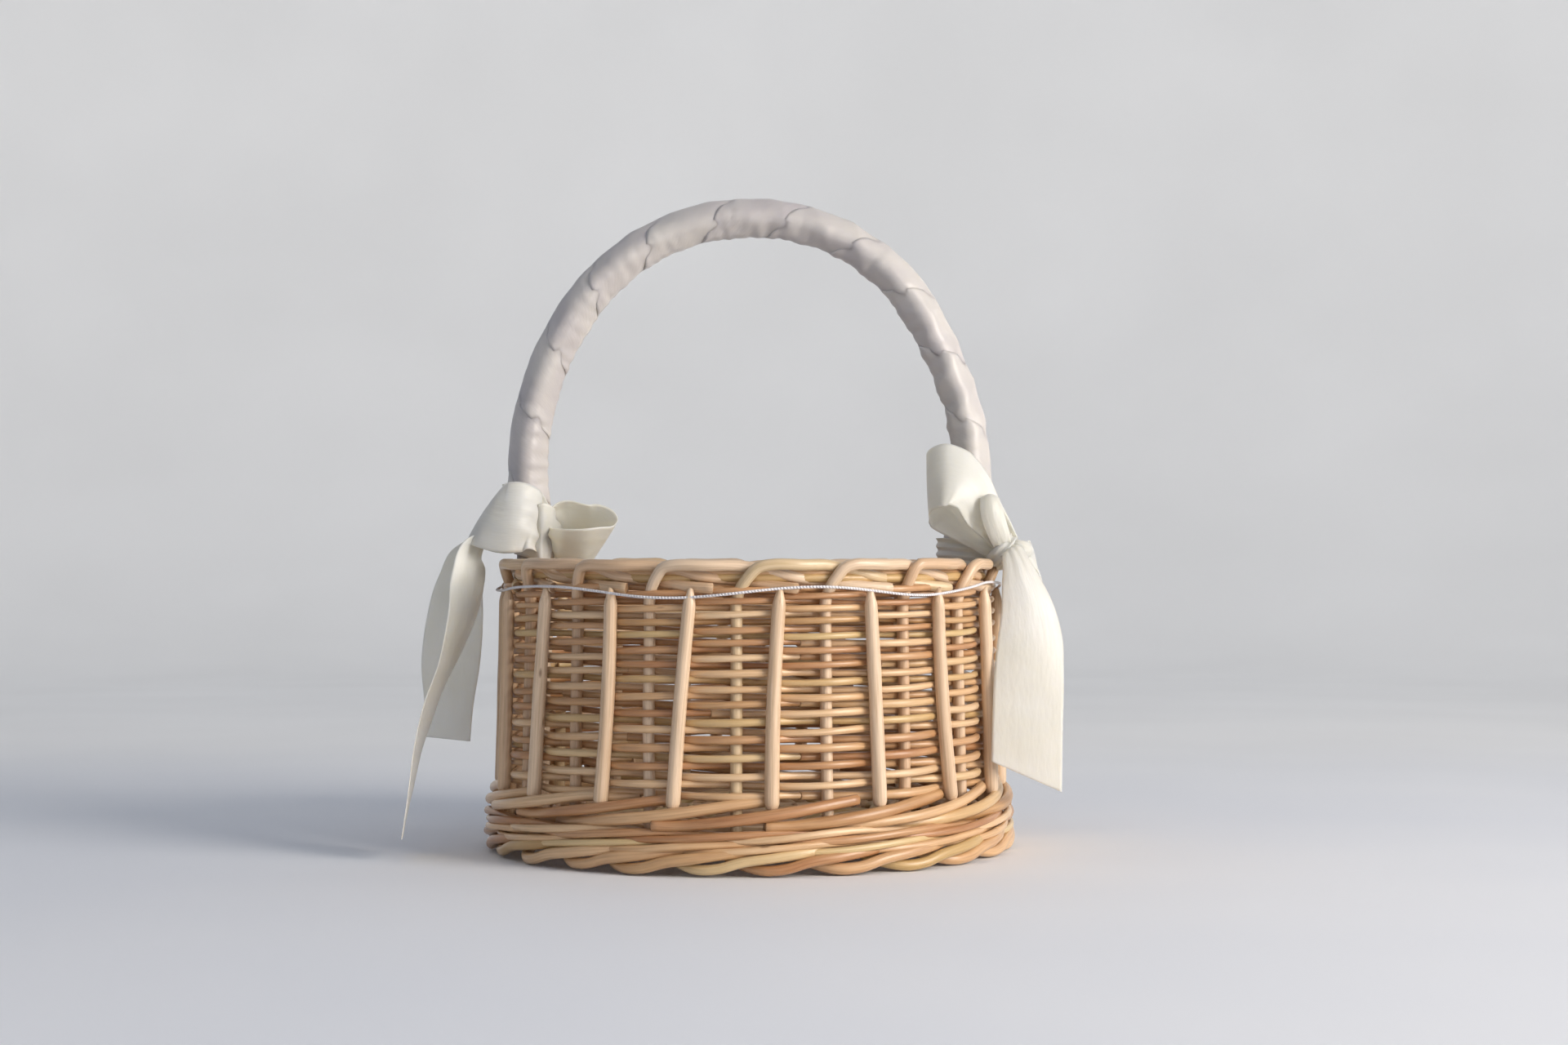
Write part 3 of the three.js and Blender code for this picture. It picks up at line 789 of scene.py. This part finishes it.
def sheet_mesh(points, flat, rng):
    """A mesh of a grid of points, whose flat place is its grain."""
    rows, columns = points.shape[:2]
    index = np.arange(rows * columns).reshape(rows, columns)
    corners = [index[:-1, :-1], index[1:, :-1], index[1:, 1:], index[:-1, 1:]]
    faces = np.stack([c.ravel() for c in corners], axis=1)
    mesh = Mesh()
    grain = flat.reshape(-1, 3) + [rng.uniform(0, 500), 0, rng.uniform(0, 500)]
    mesh.add(points.reshape(-1, 3), faces, grain, rng.uniform(0, 1, 3))
    return mesh


def thicken(piece, thickness):
    solid = piece.modifiers.new("thickness", "SOLIDIFY")
    solid.thickness = thickness * MM
    solid.offset = 0
    solid.use_even_offset = False


def ribbon(stations, rng, pleats):
    """Points and flat places of a ribbon through its stations.

    Each station is a place, the direction of its width, its width there, how far its middle stands
    proud of its edges and how deeply it is pleated. The middle stands proud towards along x across,
    or the other way where the number is negative.
    """
    rows = smooth_path(stations, step=RIBBON_STEP)
    middle, across = rows[:, :3], unit(rows[:, 3:6])
    width, cup, depth = rows[:, 6], rows[:, 7], rows[:, 8]
    along = unit(np.gradient(middle, axis=0))
    across = unit(across - (across * along).sum(1, keepdims=True) * along)
    face = np.cross(along, across)
    u = np.linspace(-1, 1, RIBBON_COLUMNS)
    run = run_of(middle)
    pleat = np.cos(math.pi * pleats * u[None, :] + 0.6 * np.sin(run[:, None] / 9)) * depth[:, None]
    dome = cup[:, None] * (1 - u[None, :] ** 2)
    lumps = np.zeros((len(run), RIBBON_COLUMNS))
    for _ in range(6):
        wave = rng.uniform(0.05, 0.22)
        skew = rng.uniform(-1.5, 1.5)
        lumps += np.sin(run[:, None] * wave + skew * u[None, :] * 2 + rng.uniform(0, 6.28))
    proud = pleat + dome + lumps * RIPPLE / 6
    points = middle[:, None] + across[:, None] * (u[None, :, None] * width[:, None, None] / 2)
    points = points + face[:, None] * proud[..., None]
    flat = np.stack(np.broadcast_arrays(run[:, None], u[None, :] * RIBBON / 2, 0.0), axis=-1)
    return points, flat


def make_ribbon(name, stations, rng, body, node, shape=None, pleats=3):
    """Makes a ribbon in place of a CAD node. A ribbon that hangs has no body."""
    points, flat = ribbon(stations, rng, pleats)
    if shape is not None:
        points = shape(points)
    piece = sheet_mesh(points, flat, rng).make(name, IVORY_SATIN, body, "ivory_satin", node)
    thicken(piece, RIBBON_THICKNESS)
    return piece


def left_bow(rng):
    loop = [
        [-88.3, -12, 131, 0, 0, 1, 13, 0, 1.2],
        [-88.4, -19, 133.5, 0, 0.05, 1, 20, -0.6, 0.7],
        [-90.8, -26, 138, 0, 0.1, 1, 27.5, -1.6, 0.35],
        [-96, -28.6, 139.1, 0.1, 0.15, 0.98, 29.6, -2.4, 0.15],
        [-102.5, -27.8, 139, 0.28, 0.14, 0.95, 29.5, -2.4, 0.05],
        [-107.6, -25, 140.2, 0.46, 0.1, 0.88, 29.5, -1.8, 0],
        [-109.8, -20.5, 141.2, 0.56, 0, 0.83, 29.5, -1.0, 0],
        [-107.8, -16, 140.2, 0.5, -0.05, 0.86, 29.5, -0.8, 0],
        [-102, -13, 138.8, 0.3, 0, 0.95, 29.5, -0.8, 0.05],
        [-95.5, -12.3, 140, 0.1, 0.05, 0.99, 27, -0.5, 0.2],
        [-90.8, -13, 136.5, 0, 0, 1, 18, 0, 0.7],
        [-88.5, -12.5, 132, 0, 0, 1, 12, 0, 1.2],
    ]
    make_ribbon("left_bow_left_loop", loop, rng, "basket", "left_bow_outer_loop")
    inner = [
        [-87, -13, 131, 0.1, -0.65, 0.75, 13, 0, 1.0],
        [-83.2, -17.5, 127.6, 0.1, -0.65, 0.75, 17, 0.2, 0.6],
        [-76.5, -23.5, 123.6, 0.1, -0.65, 0.75, 26, 0.8, 0.15],
        [-68.5, -24.5, 123.2, 0.14, -0.64, 0.75, 29.5, 1.0, 0],
        [-63.9, -20, 125.2, 0.42, -0.62, 0.66, 30, 0.8, 0],
        [-63, -13.5, 129.5, 0.5, -0.7, 0.52, 30, 0.5, 0],
        [-67, -8.5, 133.4, 0.3, -0.75, 0.6, 30, 0.5, 0],
        [-75, -7.5, 136.4, 0.08, -0.77, 0.62, 29.5, 0.5, 0.05],
        [-81.5, -9.5, 136.6, 0.05, -0.72, 0.68, 26, 0.3, 0.3],
        [-85.5, -12, 134.5, 0.05, -0.7, 0.7, 19, 0, 0.8],
        [-87.5, -13, 132.5, 0.1, -0.7, 0.7, 14, 0, 1.2],
    ]
    make_ribbon("left_bow_right_loop", inner, rng, "basket", "left_bow_inner_loop")
    band = [
        [-80, -6, 131, 0, 0, 1, 17, 0, 0.6],
        [-81.2, -13, 131.3, 0, 0, 1, 18, 0.3, 0.6],
        [-82.8, -21, 132.3, 0.06, 0, 1, 22.5, 0.8, 0.4],
        [-86.4, -25.8, 132.6, 0.06, 0, 1, 24.5, 1.0, 0.4],
        [-90.8, -22, 132, 0.05, 0, 1, 20.5, 0.6, 0.5],
        [-98, -9.5, 131, 0, 0, 1, 15, 0, 0.6],
        [-100.2, -3, 131, 0, 0, 1, 14, 0, 0.5],
        [-99.5, 4, 131, 0, 0, 1, 14, 0, 0.5],
        [-94, 9.3, 131, 0, 0, 1, 14, 0, 0.5],
        [-88, 9.6, 131, 0, 0, 1, 14, 0, 0.5],
        [-82, 5.5, 131, 0, 0, 1, 15, 0, 0.5],
        [-79.6, -1, 131, 0, 0, 1, 16, 0, 0.6],
        [-80.2, -6.5, 131, 0, 0, 1, 17, 0, 0.6],
    ]
    make_ribbon("left_bow_band", band, rng, "basket", "left_bow_knot", pleats=2)


def left_tails(rng):
    wide = [
        [-99, 8, 129, 0, 1, 0.3, 14, 0, 0.8],
        [-106, 9.5, 131.5, -0.1, 1, 0.2, 17, 0, 0.6],
        [-115, 8, 130.5, -0.5, 1, 0, 20, 0, 0.4],
        [-121, 5, 124.5, -0.9, 1, 0, 23, 0.5, 0.2],
        [-123.5, 3.5, 113, -1, 0.75, 0, 26, 0.6, 0.1],
        [-125.5, 3.5, 98, -1, 0.55, 0, 28.5, 0.5, 0],
        [-127.6, 4, 78, -1, 0.5, 0, 29.5, 0.4, 0],
        [-128.4, 4, 60, -1, 0.8, 0, 29.5, 0.3, 0],
        [-128.8, 4, 45, -1, 0.95, 0, 29.5, 0.2, 0],
    ]
    piece = make_ribbon(
        "left_wide_streamer", wide, rng, None, "left_wide_tail",
    )
    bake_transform(piece)
    narrow = [
        [-97, -7, 127, 0, 1, 0.2, 13, 0, 0.9],
        [-104, -11, 129.5, 0, 1, 0.1, 15, 0, 0.8],
        [-110, -15.5, 129, 0.2, 1, 0, 17, 0.5, 0.6],
        [-114.6, -19, 125, 0.5, 1, 0, 19, 1.5, 0.3],
        [-117, -22, 114, 0.6, 1, 0, 22, 3.0, 0.1],
        [-119.4, -26, 99, 0.4, 1, 0, 25, 2.6, 0],
        [-124.4, -30, 81, 0.18, 1, 0, 27, 1.4, 0],
        [-130.8, -34, 63, 0.08, 1, 0, 28, 0.8, 0],
        [-135.4, -38, 46, 0.0, 1, 0, 29, 0.5, 0],
        [-138.4, -42, 26, -0.08, 1, 0, 29.5, 0.3, 0],
        [-141.2, -44, 8, -0.1, 1, 0, 29.5, 0.2, 0],
    ]
    piece = make_ribbon(
        "left_narrow_streamer", narrow, rng, None, "left_narrow_tail",
    )
    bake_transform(piece)


def right_bow(rng):
    big = [
        [107.5, -22, 127.5, 0.75, 0.1, 0.6, 11, 0, 0.9],
        [103.5, -24, 133.5, 0.8, 0.1, 0.55, 13, -0.2, 0.6],
        [97, -27.5, 141.5, 0.58, 0.25, 0.78, 18.5, -1.0, 0.2],
        [91, -30, 151.3, 0.28, 0.38, 0.88, 24, -1.4, 0.05],
        [86, -30.8, 155.2, 0.1, 0.45, 0.88, 28.5, -1.2, 0],
        [81, -30.3, 156.4, 0.0, 0.5, 0.87, 30, -0.8, 0],
        [76.6, -27, 155.4, 0.0, 0.5, 0.87, 30, -0.5, 0],
        [74.4, -22, 152.8, 0.0, 0.5, 0.87, 30, -0.3, 0],
        [75.8, -17.5, 150.2, 0.0, 0.48, 0.88, 30, 0, 0],
        [80.5, -15, 147.4, 0.12, 0.4, 0.9, 29, 0, 0],
        [88, -14.6, 142.2, 0.3, 0.3, 0.9, 26, 0, 0.1],
        [96, -15.5, 135.2, 0.45, 0.2, 0.87, 20, 0, 0.4],
        [102.8, -18, 128.8, 0.55, 0.15, 0.8, 14, 0, 0.8],
        [107.5, -20, 126.5, 0.65, 0.1, 0.7, 11, 0, 0.9],
    ]
    make_ribbon("right_bow_big_loop", big, rng, "basket", "right_bow_upper_loop")
    small = [
        [105.8, -25, 126, 1, 0.2, 0, 6.5, -0.4, 0.3],
        [103.6, -29.5, 131, 1, 0.2, 0, 8.5, -1.2, 0],
        [101, -32.5, 137.5, 1, 0.2, 0, 9.8, -2.0, 0],
        [99.8, -33, 143, 1, 0.2, 0, 9.8, -2.4, 0],
        [99.6, -31, 146.6, 1, 0.2, 0, 8.0, -2.2, 0],
        [100.1, -28.3, 146, 1, 0.2, 0, 7.5, -1.2, 0],
        [101.2, -27, 141, 1, 0.2, 0, 8.5, 0, 0],
        [103.4, -26, 133, 1, 0.2, 0, 8, 0, 0.1],
        [106, -23.5, 127, 1, 0.2, 0, 7, 0, 0.5],
    ]
    make_ribbon("right_bow_small_loop", small, rng, "basket", "right_bow_knot")
    back = [
        [112.5, -18, 126, 0.2, 1, 0, 12, 0, 1.0],
        [117.5, -15.5, 122, 0.1, 1, 0, 15, 0.3, 0.6],
        [121, -13.5, 116, 0, 1, 0, 20, 0.5, 0.2],
        [122, -12.5, 107, 0, 1, 0, 26, 0.5, 0],
        [118.6, -12.5, 100.5, 0, 1, 0, 28, 0.2, 0],
        [115, -12.5, 106, 0, 1, 0, 26, 0, 0],
        [114.2, -13.5, 115, 0, 1, 0, 20, 0, 0.2],
        [113.5, -15.5, 122, 0.1, 1, 0, 15, 0, 0.7],
        [112, -18, 127, 0.2, 1, 0, 12, 0, 1.0],
    ]
    make_ribbon("right_bow_rear_loop", back, rng, "basket", "right_bow_back_loop")
    knot = [
        [
            106.6 + 4.4 * math.cos(turn), -19.5 + 8.6 * math.sin(turn), 125 + 5.2 * math.cos(turn),
            -0.75, 0, 0.65, 8.5 + math.sin(2 * turn), 0.8, 0.45,
        ]
        for turn in np.linspace(0, 2 * math.pi, 13)
    ]
    make_ribbon("right_bow_knot_folds", knot, rng, "basket", "right_bow_knot")
    puff = [
        [107, -24, 125.4, 0.2, 0, 1, 7, 0, 0.6],
        [111.5, -26.6, 125.4, 0.15, 0, 1, 8.4, 1.0, 0.2],
        [114.8, -25.4, 125.4, 0.1, 0, 1, 7.6, 1.6, 0],
        [117, -21, 125.4, 0, 0, 1, 5.5, 1.6, 0],
        [116, -16.5, 125.5, 0, 0, 1, 6.5, 0.8, 0.1],
        [112.5, -14, 126, 0.1, 0, 1, 8, 0.3, 0.3],
        [107.5, -15, 126.2, 0.2, 0, 1, 7, 0, 0.6],
    ]
    make_ribbon("right_bow_side_puff", puff, rng, "basket", "right_bow_knot")
    band = [
        [103.2, -6, 124, 0.1, 0, 1, 12, 0, 0.4],
        [98, -10.6, 124.4, 0.1, 0, 1, 11, 0.3, 0.6],
        [90, -11.3, 125, 0, 0, 1, 10.5, 0.3, 0.6],
        [82.5, -7.5, 125.5, 0, 0, 1, 10.5, 0, 0.5],
        [80, 0, 125.5, 0, 0, 1, 10.5, 0, 0.4],
        [82.5, 7.5, 125.5, 0, 0, 1, 10.5, 0, 0.4],
        [90, 11, 125.5, 0, 0, 1, 10.5, 0, 0.4],
        [98, 9, 125, 0, 0, 1, 11, 0, 0.4],
        [102.6, 3, 124.5, 0, 0, 1, 11.5, 0, 0.4],
        [103, -4, 124.2, 0, 0, 1, 12, 0, 0.4],
    ]
    make_ribbon("right_leg_band", band, rng, "basket", "right_bow_knot")


def right_tails(rng):
    front = [
        [106.6, -24, 122.4, 0.6, 0.1, 0.6, 7.5, 0, 0.3],
        [107.4, -28, 125.4, 0.75, 0.1, 0.5, 8, 0.6, 0.15],
        [108.5, -31, 125.2, 0.85, 0.1, 0.35, 8.6, 1.2, 0.1],
        [109.8, -33.2, 121.4, 0.95, 0.1, 0.1, 11, 1.8, 0.1],
        [112.2, -36.3, 111, 1, 0.1, -0.12, 17.5, 2.4, 0.05],
        [114.5, -39, 99, 1, 0.1, -0.1, 23.5, 2.4, 0],
        [115, -41, 90, 1, 0.1, -0.04, 26.8, 2.0, 0],
        [114.3, -43, 77, 1, 0.1, 0, 28.6, 1.4, 0],
        [113.3, -45, 55, 1, 0.1, 0, 29.2, 0.8, 0],
        [112.8, -46, 33, 1, 0.1, 0, 29.2, 0.3, 0],
    ]

    def slanted(points):
        """The lower end cut at a slant, its right corner lower than its left."""
        rows, columns = points.shape[:2]
        share = np.linspace(0, 1, rows)[:, None] ** 3
        drop = np.linspace(6, -6, columns)[None, :]
        points[..., 2] += share * drop
        return points

    piece = make_ribbon(
        "right_front_streamer", front, rng, None, "right_front_tail",
        shape=slanted,
    )
    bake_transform(piece)
    back = [
        [111, -14, 128, 1, 0.1, 0, 9, 0, 1.0],
        [114, -5.5, 128.5, 0.95, 0.2, 0, 9.5, 0.3, 0.8],
        [116.4, 3, 124.3, 0.95, 0.3, 0, 10.5, 0.6, 0.6],
        [119.3, 17, 112, 0.93, 0.35, 0, 14, 1.2, 0.4],
        [122.8, 32, 90, 0.93, 0.38, 0, 23, 1.4, 0.1],
        [126, 43, 65, 0.92, 0.4, 0, 28.5, 0.8, 0],
        [127, 49, 43, 0.92, 0.4, 0, 29, 0.3, 0],
    ]
    piece = make_ribbon(
        "right_back_streamer", back, rng, None, "right_back_tail"
    )
    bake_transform(piece)


# ---------- stage, lights and camera ----------

# Metres, from here on.
FLOOR_RADIUS = 1.6
CURVE_RADIUS = 0.8
BACKDROP_TOP = 1.5
BACKDROP_SIDES = 96


def stage():
    """A pale floor that curves up into a round backdrop, with painted shade at the left and a faint
    painted glow on its far part.
    """
    m = Nodes("pale_paper")
    place = m.node("ShaderNodeTexCoord").outputs["Object"]
    cloud = m.noise(m.scaled(place, (3, 3, 3)), 1.0, 2.0)
    parts = m.node("ShaderNodeSeparateXYZ", {"Vector": place}).outputs
    smooth = {"interpolation_type": "SMOOTHSTEP"}
    behind = m.node("ShaderNodeMapRange", {"Value": parts["Y"], 1: 0.12, 2: 0.7}, **smooth)
    left = m.node("ShaderNodeMapRange", {"Value": parts["X"], 1: -0.9, 2: -1.8}, **smooth)
    near = m.ramp(cloud, (0.35, srgb(238, 241, 246)), (0.7, srgb(244, 246, 249)))
    far = m.ramp(cloud, (0.35, srgb(222, 222, 221)), (0.7, srgb(228, 228, 227)))
    color = m.mix(behind.outputs["Result"], near, far)
    # Painted shade: towards the left the paper is mixed into a darker grey.
    color = m.mix(left.outputs["Result"], color, (*srgb(172, 175, 181), 1))
    # Painted light: the part behind glows faintly, though it is no lamp.
    painted_glow = m.math("MULTIPLY", behind.outputs["Result"], 0.15)
    m.put(m.shader.inputs["Emission Strength"], painted_glow)
    m.shader.inputs["Emission Color"].default_value = (1.0, 1.0, 0.99, 1)
    m.put(m.shader.inputs["Base Color"], color)
    m.shader.inputs["Roughness"].default_value = 0.8
    m.shader.inputs["Specular IOR Level"].default_value = 0.2
    profile = [(0.0, 0.0), (0.6, 0.0), (1.2, 0.0), (FLOOR_RADIUS, 0.0)]
    for a in np.linspace(0.1, math.pi / 2, 14):
        profile.append((FLOOR_RADIUS + CURVE_RADIUS * math.sin(a), CURVE_RADIUS * (1 - math.cos(a))))
    outermost = FLOOR_RADIUS + CURVE_RADIUS
    profile += [(outermost, 1.1), (outermost, BACKDROP_TOP)]
    sides = BACKDROP_SIDES
    points = [(0.0, 0.0, 0.0)]
    for radius, z in profile[1:]:
        turns = 2 * math.pi * np.arange(sides) / sides
        points += [(radius * math.cos(a), radius * math.sin(a), z) for a in turns]
    faces = [(0, 1 + j, 1 + (j + 1) % sides) for j in range(sides)]
    for i in range(len(profile) - 2):
        low, high = 1 + i * sides, 1 + (i + 1) * sides
        faces += [(low + j, high + j, high + (j + 1) % sides, low + (j + 1) % sides) for j in range(sides)]
    data = bpy.data.meshes.new("backdrop")
    data.from_pydata(points, [], faces)
    data.polygons.foreach_set("use_smooth", [True] * len(data.polygons))
    data.materials.append(m.material)
    floor = bpy.data.objects.new("backdrop", data)
    bpy.context.scene.collection.objects.link(floor)


WINDOW_PLACE = (1.5, -1.05, 0.7)
WINDOW_SIZE = 1.1
WINDOW_POWER = 35
WINDOW_COLOR = (1.0, 0.92, 0.83)
AIMED_AT = (0, 0, 0.12)


def area_light(name, place, size, power, color):
    data = bpy.data.lights.new(name, "AREA")
    data.shape = "DISK"
    data.size = size
    data.energy = power
    data.color = color
    light = bpy.data.objects.new(name, data)
    light.location = place
    aim = np.array(AIMED_AT) - np.array(place)
    light.rotation_mode = "QUATERNION"
    light.rotation_quaternion = Vector(aim).to_track_quat("-Z", "Y")
    bpy.context.scene.collection.objects.link(light)


def lights():
    """A soft sky, and one large window in front at the right."""
    world = bpy.data.worlds.new("soft_sky")
    world.use_nodes = True
    tree = world.node_tree
    place = tree.nodes.new("ShaderNodeTexCoord")
    parts = tree.nodes.new("ShaderNodeSeparateXYZ")
    ramp = tree.nodes.new("ShaderNodeValToRGB")
    tree.links.new(place.outputs["Generated"], parts.inputs[0])
    tree.links.new(parts.outputs["Z"], ramp.inputs["Fac"])
    ramp.color_ramp.elements[0].color = (0.60, 0.64, 0.70, 1)
    ramp.color_ramp.elements[1].color = (0.22, 0.24, 0.29, 1)
    tree.links.new(ramp.outputs["Color"], tree.nodes["Background"].inputs["Color"])
    tree.nodes["Background"].inputs["Strength"].default_value = 1.0
    bpy.context.scene.world = world
    area_light("window", WINDOW_PLACE, WINDOW_SIZE, WINDOW_POWER, WINDOW_COLOR)


CAMERA_DISTANCE = 1.044
CAMERA_HEIGHT = 0.120
SENSOR_WIDTH = 36  # millimetres, as is the lens
LENS = 56.25
# How far the camera looks up, and to the right of the basket's axis, for each metre that it looks ahead.
LOOKS_UP = 1 / 60
LOOKS_RIGHT = 0.014


def camera():
    data = bpy.data.cameras.new("camera")
    data.sensor_width = SENSOR_WIDTH
    data.lens = LENS
    data.clip_start = 0.01
    seen_from = bpy.data.objects.new("camera", data)
    seen_from.location = (0, -CAMERA_DISTANCE, CAMERA_HEIGHT)
    seen_from.rotation_mode = "QUATERNION"
    looks = Vector((LOOKS_RIGHT, 1, LOOKS_UP))
    seen_from.rotation_quaternion = looks.to_track_quat("-Z", "Y")
    bpy.context.scene.collection.objects.link(seen_from)
    bpy.context.scene.camera = seen_from
    bpy.context.scene.view_settings.view_transform = "Standard"


def build():
    camera()
    stage()
    lights()
    side_stakes(np.random.default_rng(SEED))
    outer_stakes(np.random.default_rng(SEED + 1))
    rim_fillers(np.random.default_rng(SEED + 11))
    weave(np.random.default_rng(SEED + 2))
    foot(np.random.default_rng(SEED + 3))
    base(np.random.default_rng(SEED + 4))
    rim_thread(np.random.default_rng(SEED + 5))
    handle(np.random.default_rng(SEED + 6))
    left_bow(np.random.default_rng(SEED + 7))
    left_tails(np.random.default_rng(SEED + 8))
    right_bow(np.random.default_rng(SEED + 9))
    right_tails(np.random.default_rng(SEED + 10))


build()
